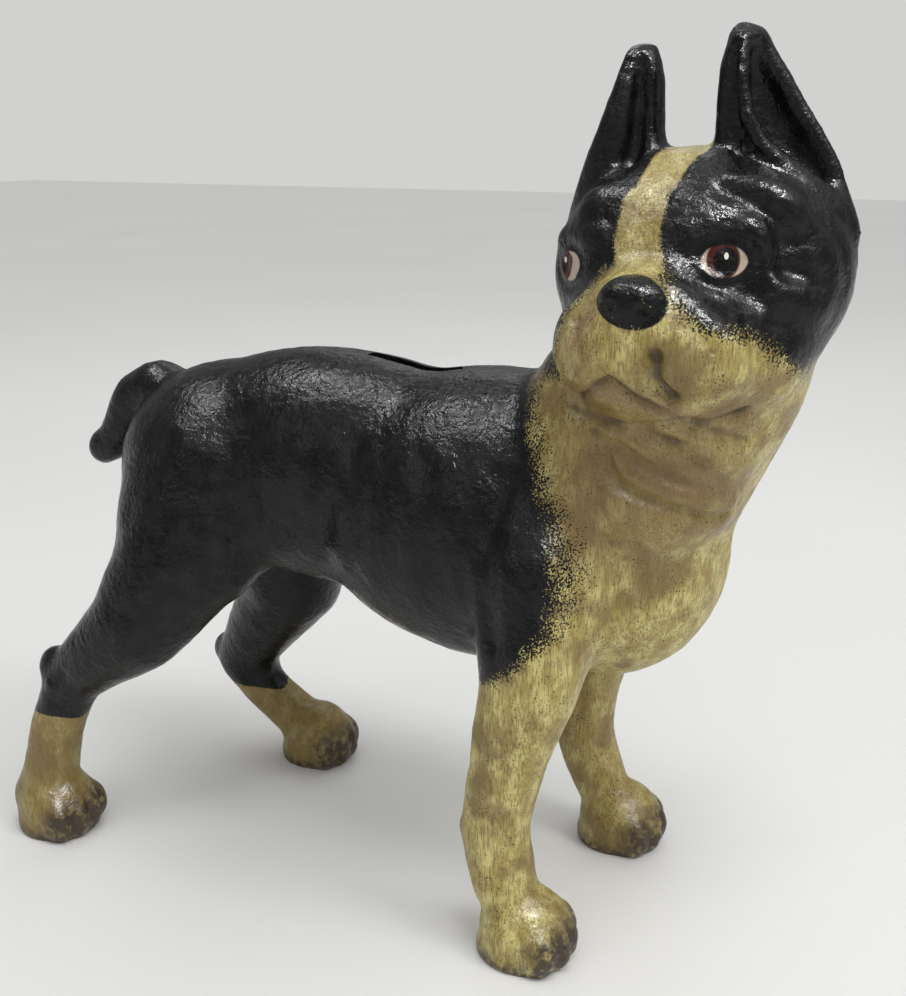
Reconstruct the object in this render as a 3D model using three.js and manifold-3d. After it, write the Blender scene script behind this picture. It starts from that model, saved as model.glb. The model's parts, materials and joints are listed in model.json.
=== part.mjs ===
// A cast iron still bank: a standing terrier, hollow, with its head turned to its right.
// Two castings meet on the body's median plane and two long machine screws hold them together.
// Millimetres, +Z up. The dog faces -Y, its left side is +X, and the plane x = 0 parts the castings.
import * as THREE from "three";
import { mergeVertices } from "three/addons/utils/BufferGeometryUtils.js";
import Module from "manifold-3d";

const wasm = await Module();
wasm.setup();

// ---------------------------------------------------------------- driving dimensions
const BACK_HEIGHT = 160; // the ground to the spine
const STANCE = 144; // mean hind foot to mean front foot
const FRONT_TRACK = 68; // across the front feet
const HIND_TRACK = 79; // across the hind feet

const RIBS = { long: 124, wide: 76, deep: 84 };
const WAIST = { long: 128, wide: 60, deep: 70 };
const RUMP = { long: 76, wide: 70, deep: 66 };
const BREAST = { long: 66, wide: 62, deep: 76 };

const NECK_RADIUS = 30;
const HEAD = { wide: 74, long: 58, high: 60 }; // ear to ear, nape to brow, jaw to crown
const HEAD_REACH = 27; // the middle of the skull, ahead of the front feet
const HEAD_RISE = 29; // and above the spine
const MUZZLE = { wide: 45, long: 34, high: 32 };
const CHEEK_RADIUS = 17;
const NOSE_RADIUS = 7;
const EAR_HEIGHT = 29; // crown to tip
const EAR_DROP = 16; // crown down to the foot of an ear's outer edge
const EAR_WIDTH = 36;
const EAR_THICKNESS = 10;
const EAR_SPREAD = 17; // across the crown, between the ears' inner edges
const EAR_TURN = 35; // degrees that an ear's cup faces out from the face

const PAW = { long: 31, wide: 28, high: 23 };
const TAIL_RADIUS = 8;

const WALL = 4.5;
const PARTING_GAP = 0.3; // between the two castings' mating faces
const SLOT_LENGTH = 30;
const SLOT_WIDTH = 5;
const SLOT_FORWARD = 15.5; // the middle of the slot, ahead of the middle of the stance

const SCREW_RADIUS = 2.5;
const SCREW_GRIP = 15; // how far a screw reaches into the right casting
const SCREW_HEAD = { radius: 4.8, thick: 3.4, slotWide: 1.3, slotDeep: 1.5 };
const CLEARANCE = 0.4; // round and under a screw
const RECESS_DEPTH = 6; // the screw head's seat, below the flank
const BOSS_WALL = 2.6; // the metal round a screw's recess or hole

// ---------------------------------------------------------------- frame helpers
const ROUND = { across: 20, down: 10 }; // facets of a large rounded mass
const SMALL = { across: 10, down: 6 }; // facets of a small one

// A place on the dog: ahead of the middle of the stance, to its left, and above the ground.
const at = (forward, left, up) => new THREE.Vector3(left, -forward, up);

// Places along the body and up it as shares, so that the pose follows the stance and the height.
const along = (share) => (share * STANCE) / 2;
const high = (share) => share * BACK_HEIGHT;

// ---------------------------------------------------------------- solids
function solid(geometry) {
  const bare = geometry.index ? geometry.toNonIndexed() : geometry.clone();
  bare.deleteAttribute("normal");
  bare.deleteAttribute("uv");
  const merged = mergeVertices(bare, 1e-3);
  return new wasm.Manifold(
    new wasm.Mesh({
      numProp: 3,
      vertProperties: merged.attributes.position.array,
      triVerts: new Uint32Array(merged.index.array),
    }),
  );
}

function join(solids) {
  return solids.reduce((whole, piece) => whole.add(piece));
}

// A rounded mass from its three diameters, less an allowance all round.
function mass(centre, { long, wide, deep }, less = 0, facets = ROUND) {
  const ball = new THREE.SphereGeometry(1, facets.across, facets.down);
  ball.scale(wide / 2 - less, long / 2 - less, deep / 2 - less);
  ball.translate(centre.x, centre.y, centre.z);
  return solid(ball);
}

// A tapered stretch with round ends, from one ball to the next: a profile spun on its axis.
function taper(from, to, less = 0) {
  const [a, ra] = [from.centre, from.radius - less];
  const [b, rb] = [to.centre, to.radius - less];
  const length = a.distanceTo(b);
  const lean = Math.asin((ra - rb) / length);
  const profile = [];
  const steps = 2;
  for (let i = 0; i <= steps; i++) {
    const angle = -Math.PI / 2 + (i / steps) * (Math.PI / 2 + lean);
    profile.push(new THREE.Vector2(ra * Math.cos(angle), ra * Math.sin(angle)));
  }
  for (let i = 0; i <= steps; i++) {
    const angle = lean + (i / steps) * (Math.PI / 2 - lean);
    profile.push(new THREE.Vector2(rb * Math.cos(angle), length + rb * Math.sin(angle)));
  }
  profile[0].x = 0;
  profile.at(-1).x = 0;
  const spun = new THREE.LatheGeometry(profile, SMALL.across);
  const turn = new THREE.Quaternion().setFromUnitVectors(
    new THREE.Vector3(0, 1, 0),
    b.clone().sub(a).normalize(),
  );
  spun.applyQuaternion(turn);
  spun.translate(a.x, a.y, a.z);
  return solid(spun);
}

const ball = (radius, centre) => ({ centre, radius });

function chain(balls, less = 0) {
  return join(balls.slice(1).map((next, i) => taper(balls[i], next, less)));
}

// A round bar along X between two places across the body.
function bar(radius, fromX, toX, place) {
  const rod = new THREE.CylinderGeometry(radius, radius, toX - fromX, 16);
  rod.rotateZ(Math.PI / 2);
  rod.translate((fromX + toX) / 2, place.y, place.z);
  return solid(rod);
}

function block(low, high) {
  const size = high.clone().sub(low);
  const box = new THREE.BoxGeometry(size.x, size.y, size.z);
  box.translate(...low.clone().add(high).multiplyScalar(0.5).toArray());
  return solid(box);
}

// ---------------------------------------------------------------- the dog's masses
const ribsCentre = at(along(0.6), 0, BACK_HEIGHT - RIBS.deep / 2 - 1);
const waistCentre = at(along(-0.14), 0, BACK_HEIGHT - WAIST.deep / 2);
const rumpCentre = at(along(-0.66), 0, BACK_HEIGHT - RUMP.deep / 2 - 6);
const breastCentre = at(along(1.04), 0, high(0.71));
const headForward = along(1) + HEAD_REACH;
const headUp = BACK_HEIGHT + HEAD_RISE;
const headCentre = at(headForward, -6, headUp);
const crownMiddle = at(headForward - 4, -6, headUp); // the ears stand either side of it

const neckBalls = [
  ball(NECK_RADIUS + 4, at(along(1.04), 0, high(0.8))),
  ball(NECK_RADIUS, at(headForward - 2, -3, headUp - 22)),
];

// The hollow masses: the cavity is made of the same ones, a wall thinner.
function trunk(less) {
  return join([
    mass(ribsCentre, RIBS, less),
    mass(waistCentre, WAIST, less),
    mass(rumpCentre, RUMP, less),
    mass(breastCentre, BREAST, less),
    chain(neckBalls, less),
    mass(headCentre, { long: HEAD.wide, wide: HEAD.long, deep: HEAD.high }, less),
  ]);
}

// The solid masses of the face. It looks along -X, so its width runs along the body.
function face() {
  const brow = headCentre.x - HEAD.long / 2;
  const muzzleCentre = new THREE.Vector3(brow - 1, headCentre.y, headCentre.z - 14);
  const cheek = (side) =>
    mass(
      new THREE.Vector3(
        headCentre.x - 8,
        headCentre.y + side * (HEAD.wide / 2 - CHEEK_RADIUS - 1),
        headCentre.z - 9,
      ),
      { long: 2 * CHEEK_RADIUS, wide: 2 * CHEEK_RADIUS + 4, deep: 2 * CHEEK_RADIUS },
    );
  const nose = new THREE.Vector3(
    muzzleCentre.x - MUZZLE.long / 2 + NOSE_RADIUS / 2,
    muzzleCentre.y + 2,
    muzzleCentre.z + MUZZLE.high / 2 - NOSE_RADIUS / 2,
  );
  return join([
    mass(muzzleCentre, { long: MUZZLE.wide, wide: MUZZLE.long, deep: MUZZLE.high }),
    cheek(-1),
    cheek(1),
    mass(nose, { long: 2.2 * NOSE_RADIUS, wide: 2 * NOSE_RADIUS, deep: 2 * NOSE_RADIUS }, 0, SMALL),
  ]);
}

// One pointed ear: a thick outline that rises from the crown's edge. side is 1 for the dog's left ear.
function ear(side) {
  const root = -20; // the outline starts inside the skull
  const outline = new THREE.Shape();
  outline.moveTo(0, root);
  outline.lineTo(0, EAR_HEIGHT - 4);
  outline.quadraticCurveTo(1, EAR_HEIGHT, 4, EAR_HEIGHT);
  outline.quadraticCurveTo(8, EAR_HEIGHT, 11, EAR_HEIGHT - 6);
  outline.quadraticCurveTo(EAR_WIDTH - 12, EAR_HEIGHT * 0.35, EAR_WIDTH, -EAR_DROP);
  outline.lineTo(EAR_WIDTH - 10, root - 10);
  const bevel = 2;
  const flat = EAR_THICKNESS - 2 * bevel;
  const plate = new THREE.ExtrudeGeometry(outline, {
    depth: flat,
    curveSegments: 3,
    bevelThickness: bevel,
    bevelSize: bevel,
    bevelOffset: -bevel,
    bevelSegments: 1,
  });
  plate.translate(0, 0, -flat / 2);
  // The outline runs outwards from the crown and up. Its inner edge stands in front, its outer edge behind.
  const turn = THREE.MathUtils.degToRad(EAR_TURN);
  const outward = new THREE.Vector3(Math.sin(turn), -side * Math.cos(turn), 0);
  const upward = new THREE.Vector3(0, 0, 1);
  plate.applyMatrix4(new THREE.Matrix4().makeBasis(outward, upward, outward.clone().cross(upward)));
  plate.translate(
    headCentre.x - 2,
    crownMiddle.y - (side * EAR_SPREAD) / 2,
    headCentre.z + HEAD.high / 2 - 2,
  );
  return solid(plate);
}

function paw(forward, left) {
  const size = { long: PAW.long, wide: PAW.wide, deep: PAW.high };
  return mass(at(forward, left, PAW.high / 2 - 2.4), size, 0, SMALL);
}

// A front leg from the shoulder to its paw. side is 1 on the dog's left.
function frontLeg(side, forward) {
  const left = (side * FRONT_TRACK) / 2;
  const limb = chain([
    ball(21, at(along(0.9), side * (RIBS.wide / 2 - 16), high(0.69))),
    ball(14, at(along(0.93), left * 0.97, high(0.525))),
    ball(9.6, at(along(0.83), left, high(0.36))),
    ball(9.4, at(along(0.8), left, high(0.22))),
    ball(9, at(forward - 7, left, high(0.12))),
  ]);
  return limb.add(paw(forward, left));
}

// A hind leg: haunch, stifle, hock and pastern down to its paw.
function hindLeg(side, forward, { stifle, hock }) {
  const left = (side * HIND_TRACK) / 2;
  const limb = chain([
    ball(24, at(along(-0.69), side * (RUMP.wide / 2 - 13), high(0.66))),
    ball(stifle.radius, at(stifle.forward, left * 0.85, stifle.up)),
    ball(8.6, at(hock.forward, left * 0.93, hock.up)),
    ball(8.2, at((hock.forward + forward) / 2 - 3, left * 0.98, hock.up * 0.6)),
    ball(8.8, at(forward - 5, left, high(0.09))),
  ]);
  return limb.add(paw(forward, left));
}

function tail() {
  return chain([
    ball(TAIL_RADIUS + 2, at(along(-0.93), 0, BACK_HEIGHT - 21)),
    ball(TAIL_RADIUS, at(along(-1.1), 0, BACK_HEIGHT - 16)),
    ball(TAIL_RADIUS, at(along(-1.22), 0, BACK_HEIGHT - 24)),
    ball(TAIL_RADIUS, at(along(-1.27), 0, BACK_HEIGHT - 33)),
    ball(TAIL_RADIUS - 2, at(along(-1.39), 0, BACK_HEIGHT - 38)),
  ]);
}

// ---------------------------------------------------------------- fastening
// How far out a mass's side lies at a place on the median plane.
function flankOf(centre, { long, wide, deep }, place) {
  const forward = (place.y - centre.y) / (long / 2);
  const up = (place.z - centre.z) / (deep / 2);
  return (wide / 2) * Math.sqrt(1 - forward ** 2 - up ** 2);
}

// The rear screw goes in above the haunch, the front one behind the shoulder.
const rearPlace = at(along(-0.5), 0, BACK_HEIGHT - 28);
const screws = [
  { name: "front_screw", place: ribsCentre, flank: flankOf(ribsCentre, RIBS, ribsCentre) },
  { name: "rear_screw", place: rearPlace, flank: flankOf(rumpCentre, RUMP, rearPlace) },
].map((screw) => ({ ...screw, seat: screw.flank - RECESS_DEPTH }));

const recessRadius = SCREW_HEAD.radius + CLEARANCE;
const holeRadius = SCREW_RADIUS + CLEARANCE;

// A boss ends inside the wall, 1 mm past the wall's inner face.
function leftBoss({ place, flank }) {
  return bar(recessRadius + BOSS_WALL, 0, flank - WALL + 1, place);
}

function leftBore({ place, seat }) {
  return bar(holeRadius, -1, seat + 1, place).add(bar(recessRadius, seat, seat + 4 * RECESS_DEPTH, place));
}

function rightBoss({ place, flank }) {
  return bar(holeRadius + BOSS_WALL, WALL - 1 - flank, 0, place);
}

function rightBore({ place }) {
  return bar(holeRadius, -SCREW_GRIP - 2, 1, place);
}

function screwSolid({ place, seat }) {
  const { radius, thick, slotWide, slotDeep } = SCREW_HEAD;
  const under = seat + CLEARANCE;
  const shank = bar(SCREW_RADIUS, -SCREW_GRIP, under + 0.5, place);
  const slotFloor = under + thick - slotDeep;
  const slot = block(
    new THREE.Vector3(slotFloor, place.y - 2 * radius, place.z - slotWide / 2),
    new THREE.Vector3(under + 2 * thick, place.y + 2 * radius, place.z + slotWide / 2),
  );
  return shank.add(bar(radius, under, under + thick, place)).subtract(slot);
}

// ---------------------------------------------------------------- the castings
const REACH = 400; // past the dog on every side
const ground = block(at(REACH, -REACH, -REACH), at(-REACH, REACH, 0));

const outside = join([
  trunk(0),
  face(),
  ear(-1),
  ear(1),
  tail(),
  frontLeg(-1, along(0.94)),
  frontLeg(1, along(1.04)),
  hindLeg(-1, along(-1.35), {
    stifle: { forward: along(-0.9), up: high(0.485), radius: 14.5 },
    hock: { forward: along(-1.24), up: high(0.35) },
  }),
  hindLeg(1, along(-0.63), {
    stifle: { forward: along(-0.69), up: high(0.45), radius: 19 },
    hock: { forward: along(-1.1), up: high(0.225) },
  }),
]).subtract(ground);

const slotHalf = SLOT_LENGTH / 2;
const coinSlot = block(
  at(SLOT_FORWARD + slotHalf, -SLOT_WIDTH / 2, BACK_HEIGHT - 3 * WALL),
  at(SLOT_FORWARD - slotHalf, SLOT_WIDTH / 2, BACK_HEIGHT + 4 * WALL),
);
const hollow = outside.subtract(trunk(WALL)).subtract(coinSlot);

// The metal on one side of the parting plane, half the parting gap away from it.
function sideOf(whole, side) {
  const near = PARTING_GAP / 2;
  const low = side < 0 ? -REACH : near;
  const top = side < 0 ? -near : REACH;
  const keep = block(new THREE.Vector3(low, -REACH, -REACH), new THREE.Vector3(top, REACH, REACH));
  return whole.intersect(keep);
}

const leftHalf = screws.reduce(
  (metal, screw) => metal.subtract(leftBore(screw)),
  sideOf(join([hollow, ...screws.map(leftBoss)]), 1),
);
const rightHalf = screws.reduce(
  (metal, screw) => metal.subtract(rightBore(screw)),
  sideOf(join([hollow, ...screws.map(rightBoss)]), -1),
);

// ---------------------------------------------------------------- finishes and the scene graph
const enamel = { color: 0x141416, roughness: 0.3, metalness: 0.0 };
const steel = { color: 0x6e6a64, roughness: 0.45, metalness: 0.9 };

function mesh(name, made, finish) {
  const { vertProperties, triVerts } = made.getMesh();
  const geometry = new THREE.BufferGeometry();
  geometry.setAttribute("position", new THREE.BufferAttribute(vertProperties, 3));
  geometry.setIndex(new THREE.BufferAttribute(triVerts, 1));
  const piece = new THREE.Mesh(geometry, new THREE.MeshStandardMaterial(finish));
  piece.name = name;
  return piece;
}

const dog = new THREE.Group();
dog.add(mesh("right_half", rightHalf, enamel));
dog.add(mesh("left_half", leftHalf, enamel));
for (const screw of screws) dog.add(mesh(screw.name, screwSolid(screw), steel));

// The origin is on the ground, under the middle of the bank.
const bounds = new THREE.Box3().setFromObject(dog);
const middle = bounds.getCenter(new THREE.Vector3());
dog.position.set(-middle.x, -middle.y, -bounds.min.z);

const bank = new THREE.Group();
bank.add(dog);
export default bank;
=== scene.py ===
# A cast iron still bank: a standing terrier in two hollow castings, held together by two slotted screws.
# The figure is modelled whole as clay, parted on its median plane and cored, as a foundry pattern is.
import json
import math

import bmesh
import bpy
import numpy as np
from mathutils import Matrix, Vector


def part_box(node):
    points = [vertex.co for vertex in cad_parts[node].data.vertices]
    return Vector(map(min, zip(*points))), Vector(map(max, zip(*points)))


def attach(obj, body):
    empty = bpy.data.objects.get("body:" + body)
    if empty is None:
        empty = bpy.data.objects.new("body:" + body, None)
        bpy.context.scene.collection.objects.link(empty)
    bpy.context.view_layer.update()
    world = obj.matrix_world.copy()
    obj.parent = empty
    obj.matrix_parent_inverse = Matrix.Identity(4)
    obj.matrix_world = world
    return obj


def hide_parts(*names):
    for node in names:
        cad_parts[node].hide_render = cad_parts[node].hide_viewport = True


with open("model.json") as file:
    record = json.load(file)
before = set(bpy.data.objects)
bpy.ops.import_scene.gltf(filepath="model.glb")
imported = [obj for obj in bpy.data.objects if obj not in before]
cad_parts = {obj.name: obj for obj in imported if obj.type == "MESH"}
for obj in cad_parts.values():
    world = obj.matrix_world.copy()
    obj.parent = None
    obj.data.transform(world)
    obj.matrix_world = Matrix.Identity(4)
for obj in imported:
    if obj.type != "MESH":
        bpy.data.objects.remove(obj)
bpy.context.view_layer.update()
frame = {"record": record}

# ---------------------------------------------------------------- places and sizes
# A place on the dog is (forward, left, up) in millimetres: ahead of the middle of the four soles,
# to the left of the parting plane, and above the ground.
MM = 0.001
soles = [Vector(mount["pos_m"]) for mount in frame["record"]["mounts"]]
STANCE = sum(soles, Vector()) / len(soles)
PARTING = (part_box("right_half")[1].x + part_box("left_half")[0].x) / 2
SEAM = 0.06  # what the eye sees of the gap between the castings

WALL = 4.5
CLAY_GRAIN = 2.0  # the mesh spacing while the large masses are blended
FORM_GRAIN = 1.1  # the mesh spacing of the finished form

# The hollow masses, each with its place and half sizes, or its place and radius.
# The core is these less the wall.
RIBS = ((43, 0, 117), (62, 37.5, 42.5))
WAIST = ((-10, 0, 125), (66, 29.5, 36))
RUMP = ((-47, 0, 121), (38, 35, 33.5))
BREAST = ((76, 0, 114), (33.5, 31, 38.5))
SKULL = ((99, -6, 189), (37.5, 29.5, 30.5))
NECK = (((75, 0, 128), 34.5), ((97, -3, 167), 31))

# The coin slot lies across the parting plane.
SLOT_FRONT = 30.5
SLOT_BACK = 0.5
SLOT_HALF_WIDTH = 2.5
SLOT_CORNER = 2

SCREW_RADIUS = 2.5
HEAD_RADIUS = 4.8
HEAD_THICK = 3.4
THREAD_LENGTH = 15
THREAD_PITCH = 0.9
THREAD_DEPTH = 0.42
DRIVER_SLOT_HALF_WIDTH = 0.65
DRIVER_SLOT_DEPTH = 1.5
CLEARANCE = 0.4  # round a screw
BOSS_WALL = 2.6  # the iron round a screw's hole or seat


def at(forward, left, up):
    return Vector((PARTING + left * MM, STANCE.y - forward * MM, up * MM))


# ---------------------------------------------------------------- clay: solid lumps, joined and remeshed
def ball(bm, place, radii, turn=0.0, lean=0.0, roll=0.0):
    """An egg of clay: its half sizes forward, left and up, turned about up, left and forward in degrees."""
    forward, left, up = radii
    move = (
        Matrix.Translation(at(*place))
        @ Matrix.Rotation(math.radians(turn), 4, "Z")
        @ Matrix.Rotation(math.radians(lean), 4, "X")
        @ Matrix.Rotation(math.radians(roll), 4, "Y")
        @ Matrix.Diagonal((left * MM, forward * MM, up * MM, 1))
    )
    bmesh.ops.create_icosphere(bm, subdivisions=4, radius=1, matrix=move)


def limb(bm, joints):
    """Round balls joined by tapered stretches. Each joint is ((forward, left, up), radius)."""
    for place, radius in joints:
        bmesh.ops.create_icosphere(bm, subdivisions=3, radius=radius * MM,
                                   matrix=Matrix.Translation(at(*place)))
    for (place_a, radius_a), (place_b, radius_b) in zip(joints, joints[1:]):
        a, b = at(*place_a), at(*place_b)
        move = Matrix.Translation((a + b) / 2) @ (b - a).to_track_quat("Z", "Y").to_matrix().to_4x4()
        bmesh.ops.create_cone(bm, cap_ends=True, segments=32, radius1=radius_a * MM,
                              radius2=radius_b * MM, depth=(b - a).length, matrix=move)


def remeshed(name, bm, grain):
    """The lumps in a bmesh as one closed skin with an even spacing in millimetres."""
    mesh = bpy.data.meshes.new(name)
    bm.to_mesh(mesh)
    bm.free()
    lump = bpy.data.objects.new(name, mesh)
    bpy.context.scene.collection.objects.link(lump)
    skin = lump.modifiers.new("skin", "REMESH")
    skin.mode = "VOXEL"
    skin.voxel_size = grain * MM
    return applied(lump)


def applied(obj):
    """Applies an object's modifiers and returns its finished mesh; the object itself is removed."""
    graph = bpy.context.evaluated_depsgraph_get()
    mesh = bpy.data.meshes.new_from_object(obj.evaluated_get(graph))
    bpy.data.objects.remove(obj)
    return mesh


# ---------------------------------------------------------------- modelling tools
class Form:
    """A clay skin that smoothing and tool strokes move. Its points are places on the dog in millimetres."""

    def __init__(self, mesh):
        self.mesh = mesh
        flat = np.empty(len(mesh.vertices) * 3, np.float32)
        mesh.vertices.foreach_get("co", flat)
        world = flat.reshape(-1, 3).astype(float)
        self.points = np.stack(
            [(STANCE.y - world[:, 1]) / MM, (world[:, 0] - PARTING) / MM, world[:, 2] / MM], axis=1
        )
        pairs = np.empty(len(mesh.edges) * 2, np.int32)
        mesh.edges.foreach_get("vertices", pairs)
        self.pairs = pairs.reshape(-1, 2)
        self.valence = np.bincount(pairs, minlength=len(mesh.vertices)).astype(float)

    def settle(self):
        """Writes the points back to the mesh."""
        world = np.stack([PARTING + self.points[:, 1] * MM, STANCE.y - self.points[:, 0] * MM,
                          self.points[:, 2] * MM], axis=1)
        self.mesh.vertices.foreach_set("co", world.astype(np.float32).ravel())
        self.mesh.update()
        return self.mesh

    def normals(self):
        mesh = self.settle()
        flat = np.empty(len(mesh.vertices) * 3, np.float32)
        mesh.vertex_normals.foreach_get("vector", flat)
        world = flat.reshape(-1, 3)
        return np.stack([-world[:, 1], world[:, 0], world[:, 2]], axis=1)

    def around(self, values):
        """Each point's mean of its neighbours' values."""
        a, b = self.pairs.T
        count = len(self.valence)
        total = np.bincount(a, values[b], count) + np.bincount(b, values[a], count)
        return total / np.maximum(self.valence, 1)

    def smooth(self, rounds, amount=None):
        """Relaxes the skin. amount is 0 to 1 at each point, or everywhere 1."""
        share = 0.5 if amount is None else 0.5 * amount
        for _ in range(rounds):
            for axis in range(3):
                values = self.points[:, axis]
                self.points[:, axis] = values + share * (self.around(values) - values)

    def near(self, line, radius):
        """Closeness to a line through places, from 1 on it to 0 at the radius and beyond."""
        line = np.array(line, float).reshape(-1, 3)
        low, top = line.min(0) - radius, line.max(0) + radius
        inside = np.flatnonzero(((self.points > low) & (self.points < top)).all(1))
        best = np.full(len(inside), np.inf)
        spots = self.points[inside]
        for start, end in zip(line, line[1:] if len(line) > 1 else line):
            run = end - start
            share = np.clip((spots - start) @ run / max(run @ run, 1e-9), 0, 1)
            best = np.minimum(best, np.linalg.norm(spots - start - share[:, None] * run, axis=1))
        closeness = np.zeros(len(self.points))
        closeness[inside] = np.clip(1 - (best / radius) ** 2, 0, 1) ** 2
        return closeness

    def stroke(self, line, radius, height):
        """Raises the skin along a line, or presses it in when the height is below 0."""
        self.points += self.normals() * (self.near(line, radius) * height)[:, None]

    def polish(self, line, radius, rounds):
        """Smooths the skin near a line."""
        self.smooth(rounds, self.near(line, radius))


# ---------------------------------------------------------------- the dog in clay
def trunk(bm):
    """The large masses of body, neck, head and legs."""
    for mass in (RIBS, WAIST, RUMP, BREAST, SKULL):
        ball(bm, *mass)
    limb(bm, NECK)
    ball(bm, (95, -14, 153), (26, 23, 20), lean=10)  # throat
    ball(bm, (89, -12, 136), (26, 24.5, 20))
    for side in (-1, 1):
        limb(bm, [((65, side * 23, 111), 21), ((67, side * 33.5, 84), 14)])
    limb(bm, [((67, -33.5, 84), 14), ((60.5, -34, 58), 10.8), ((57, -34, 36), 10), ((61, -34, 19), 9.6)])
    limb(bm, [((67, 33.5, 84), 14), ((60, 34, 58), 10.4), ((58, 34, 36), 9.6), ((65, 34, 19), 9.4)])
    for side in (-1, 1):
        ball(bm, (-50, side * 22, 106), (26, 18, 27), lean=12)  # haunch
    limb(bm, [((-52, -24, 98), 21), ((-64, -33, 76), 15.8), ((-88, -37.5, 56), 9.6),
              ((-96, -39, 38), 8.8)])
    limb(bm, [((-96, -39, 38), 8.8), ((-101, -39.5, 18), 9.4), ((-107, -39.5, 9), 9)])
    limb(bm, [((-50, 24, 98), 21), ((-50, 32, 72), 18), ((-76, 36, 36), 10), ((-67, 38, 23), 8.6),
              ((-52, 39, 13), 9)])


def muzzle(bm):
    """The short broad muzzle and the cheeks behind it."""
    ball(bm, (96.5, -29, 177), (23.5, 22.5, 16))
    ball(bm, (86, -35, 174), (14, 15.5, 14.5))
    ball(bm, (107.5, -35, 174), (14, 15.5, 14.5))
    ball(bm, (97, -37, 180), (13, 13, 11))
    ball(bm, (95, -40, 184), (12.5, 9.5, 9))
    ball(bm, (98, -34, 163), (14, 12, 7.5))
    ball(bm, (82, -13, 181), (14.8, 17, 18))
    ball(bm, (115, -12, 178), (17, 18, 19))
    ball(bm, (116, -20, 172), (13, 15, 14))
    ball(bm, (113, -20, 205), (14, 9, 8))  # brows
    ball(bm, (82, -20, 204), (11, 8, 8))


def make_base():
    bm = bmesh.new()
    trunk(bm)
    muzzle(bm)
    form = Form(remeshed("clay", bm, CLAY_GRAIN))
    form.smooth(12)
    return form.settle()


def joined(mesh):
    """A bmesh that starts from a mesh, for more clay to be added to."""
    bm = bmesh.new()
    bm.from_mesh(mesh)
    bpy.data.meshes.remove(mesh)
    return bm


PAWS = ((67.7, -34), (72.5, 34), (-98, -39.5), (-46, 39.5))


def add_paws(bm):
    for forward, left in PAWS:
        ball(bm, (forward - 1, left, 9.5), (13.2, 12, 11.6))
        ball(bm, (forward - 2, left + 0.4, 2.8), (13.2, 12.2, 9))
        ball(bm, (forward - 2.5, left - 2, 4), (10.8, 9.2, 9))
        for toe, ahead in ((-8.2, 6), (-2.8, 8.4), (3, 8.4), (8.6, 5.6)):
            ball(bm, (forward + ahead, left + toe, 6.8), (5.8, 4.1, 7.6))


LEFT_EYE = (111.6, -33.4, 194.2)
RIGHT_EYE = (70.4, -24.6, 190.6)


def add_face(bm):
    ball(bm, (94.6, -45.6, 186.2), (8.2, 6.2, 5.7))  # nose
    ball(bm, (110.4, -28.4, 193.8), (6.6, 6, 5.6))  # eyeballs
    ball(bm, (74.6, -19.6, 190.6), (6, 6.2, 5.6))
    ball(bm, (-93.5, -38, 57.5), (7.2, 6, 7.5))  # the points of the hocks
    ball(bm, (-81, 36, 38), (7, 6, 7))


def sheet(bm, edge_a, edge_b, sag, radius, lines=9):
    """A thin cupped plate between two edges of as many places each, sagging by (forward, left, up)."""
    for n in range(lines + 1):
        share = n / lines
        line = []
        for a, b in zip(edge_a, edge_b):
            place = [p + share * (q - p) + math.sin(math.pi * share) * s for p, q, s in zip(a, b, sag)]
            line.append((place, radius))
        limb(bm, line)


def add_ears(bm):
    """Each ear is a round front column, a thin cup behind it with a rolled rim, and a ridge below."""
    inner = ((105.5, -5, 208), (104.8, -6, 222), (104.6, -6, 236), (106, -6, 244))
    outer = ((133, 0, 200.5), (126.5, -0.6, 216.5), (115, -2.5, 233.5), (108.5, -5, 243.5))
    sheet(bm, inner, outer, (1, 3.2, 0), 2.6, 12)
    ball(bm, (108, -8, 210), (5.5, 4.5, 5))
    limb(bm, [((106.3, -9, 210), 4.6), ((104.9, -9.5, 224), 3.5), ((104.6, -9.5, 237), 3.2),
              ((105.8, -7, 244), 2.9)])
    limb(bm, [((107.2, -11, 243), 1.9), ((108.2, -13.5, 233), 1.8), ((109.9, -14, 226), 1.9),
              ((113, -13.5, 220), 2.2), ((118.3, -11, 215), 2.5), ((125.2, -8, 210), 2.6),
              ((130.5, -4, 205), 2.6), ((133.5, -0.5, 199), 2.6)])
    limb(bm, [(place, 2.4) for place in outer] + [((109, -8, 243.5), 2.1)])
    limb(bm, [(outer[0], 2.8), ((133, 0.5, 191), 3)])
    inner = ((87, -5, 208), (86, -6, 222), (85.3, -6, 234), (83.5, -6, 240.5))
    outer = ((66.5, 0, 200), (70.5, -0.6, 215), (75, -2.5, 229), (79.5, -5, 240))
    sheet(bm, inner, outer, (-1, 3.2, 0), 2.6, 12)
    limb(bm, [((86.3, -9, 211), 4.2), ((84.8, -9.5, 224), 2.6), ((84.3, -9.5, 236), 2.4),
              ((83, -7.5, 240.5), 2.3)])
    limb(bm, [((80.6, -9, 239.5), 2.6), ((79.5, -11, 232), 3.4), ((77.8, -11.5, 224), 4.3),
              ((75.2, -10.5, 215), 5.4), ((72, -8, 206), 6), ((69, -4, 199), 6)])
    limb(bm, [(place, 2.3) for place in outer])


def add_tail(bm):
    limb(bm, [((-66, 0, 137), 11), ((-77, 0, 143.5), 8.6), ((-86, 0, 139.5), 8), ((-91.5, 0, 131), 7.4),
              ((-96, 0, 124), 6.6), ((-101, 0, 121), 6.2)])


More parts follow.
